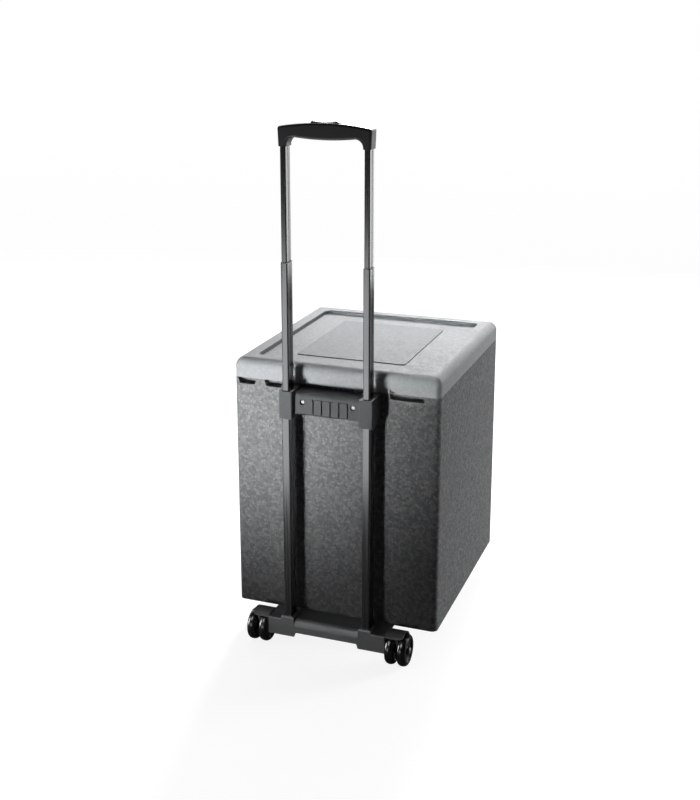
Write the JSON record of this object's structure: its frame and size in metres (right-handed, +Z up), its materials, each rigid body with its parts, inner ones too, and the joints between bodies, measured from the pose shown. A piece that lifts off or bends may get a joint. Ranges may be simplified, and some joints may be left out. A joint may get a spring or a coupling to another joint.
{
  "type": "insulated food trolley",
  "caption": "Lidded expanded-foam food box on a wheeled carriage with a telescopic pull handle; keeps food hot or cold while it is moved.",
  "frame": {"origin": "on the floor, under the middle of the trolley's bounding box", "axes": "+X to the right along the back face that carries the handle, +Y from the handle towards the front of the box, +Z up"},
  "size_m": [0.4, 0.492, 0.9957],
  "materials": {
    "dark_foam": "matte",
    "grey_foam": "matte",
    "bracket_plastic": "satin",
    "carriage_plastic": "satin",
    "tube_aluminium": "satin",
    "guide_plastic": "satin",
    "screw_steel": "satin",
    "pin_steel": "satin",
    "anchor_plastic": "satin",
    "wheel_plastic": "gloss",
    "tyre_rubber": "satin",
    "pad_rubber": "matte",
    "grip_plastic": "satin",
    "button_plastic": "satin"
  },
  "bodies": {
    "box": {"box_body": "dark_foam", "upper_bracket": "bracket_plastic", "bracket_screws": "screw_steel", "backing_strip": "screw_steel", "outer_tube_left": "tube_aluminium", "outer_tube_right": "tube_aluminium", "outer_collar_left": "guide_plastic", "outer_collar_right": "guide_plastic", "wheel_carriage": "carriage_plastic", "carriage_screws": "screw_steel", "floor_anchors": "anchor_plastic", "axle_left": "pin_steel", "axle_right": "pin_steel", "axle_caps": "wheel_plastic", "front_foot_left": "bracket_plastic", "front_foot_right": "bracket_plastic", "foot_pad_left": "pad_rubber", "foot_pad_right": "pad_rubber", "foot_screws": "screw_steel"},
    "lid": {"lid": "grey_foam"},
    "mid_stage": {"mid_tube_left": "tube_aluminium", "mid_tube_right": "tube_aluminium", "mid_collar_left": "guide_plastic", "mid_collar_right": "guide_plastic", "mid_guide_left": "guide_plastic", "mid_guide_right": "guide_plastic"},
    "handle": {"upper_tube_left": "tube_aluminium", "upper_tube_right": "tube_aluminium", "upper_guide_left": "guide_plastic", "upper_guide_right": "guide_plastic", "grip_bottom_shell": "grip_plastic", "grip_top_shell": "grip_plastic", "grip_screws": "screw_steel", "button_spring": "pin_steel"},
    "button": {"release_button": "button_plastic", "push_bar": "button_plastic", "push_rod_left": "pin_steel", "push_rod_right": "pin_steel"},
    "lock_pin_left": {"lock_pin_left": "pin_steel"},
    "lock_pin_right": {"lock_pin_right": "pin_steel"},
    "wheel_left_inner": {"wheel_hub_left_inner": "wheel_plastic", "tyre_left_inner": "tyre_rubber"},
    "wheel_left_outer": {"wheel_hub_left_outer": "wheel_plastic", "tyre_left_outer": "tyre_rubber"},
    "wheel_right_inner": {"wheel_hub_right_inner": "wheel_plastic", "tyre_right_inner": "tyre_rubber"},
    "wheel_right_outer": {"wheel_hub_right_outer": "wheel_plastic", "tyre_right_outer": "tyre_rubber"}
  },
  "joints": [
    {"name": "lid_lift", "type": "slide", "parent": "box", "child": "lid", "axis": [0, 0, 1], "range_m": [0, 0.16]},
    {"name": "mid_slide", "type": "slide", "parent": "box", "child": "mid_stage", "axis": [0, 0, 1], "range_m": [-0.23, 0]},
    {"name": "handle_slide", "type": "slide", "parent": "mid_stage", "child": "handle", "axis": [0, 0, 1], "range_m": [-0.198, 0]},
    {"name": "button_press", "type": "slide", "parent": "handle", "child": "button", "axis": [0, 0, -1], "range_m": [0, 0.003], "stiffness_N_per_m": 600, "springref_m": -0.004, "deforming": ["button_spring"]},
    {"name": "lock_pin_left_slide", "type": "slide", "parent": "handle", "child": "lock_pin_left", "axis": [0, -1, 0], "range_m": [0, 0.002]},
    {"name": "lock_pin_right_slide", "type": "slide", "parent": "handle", "child": "lock_pin_right", "axis": [0, -1, 0], "range_m": [0, 0.002]},
    {"name": "wheel_left_inner_spin", "type": "hinge", "parent": "box", "child": "wheel_left_inner", "pos_m": [-0.12605, -0.216, 0.03], "axis": [1, 0, 0], "continuous": true},
    {"name": "wheel_left_outer_spin", "type": "hinge", "parent": "box", "child": "wheel_left_outer", "pos_m": [-0.14995, -0.216, 0.03], "axis": [1, 0, 0], "continuous": true},
    {"name": "wheel_right_inner_spin", "type": "hinge", "parent": "box", "child": "wheel_right_inner", "pos_m": [0.12605, -0.216, 0.03], "axis": [1, 0, 0], "continuous": true},
    {"name": "wheel_right_outer_spin", "type": "hinge", "parent": "box", "child": "wheel_right_outer", "pos_m": [0.14995, -0.216, 0.03], "axis": [1, 0, 0], "continuous": true}
  ],
  "couplings": [
    {"joint": "lock_pin_left_slide", "follows": "button_press", "ratio": 0.66},
    {"joint": "lock_pin_right_slide", "follows": "button_press", "ratio": 0.66}
  ]
}
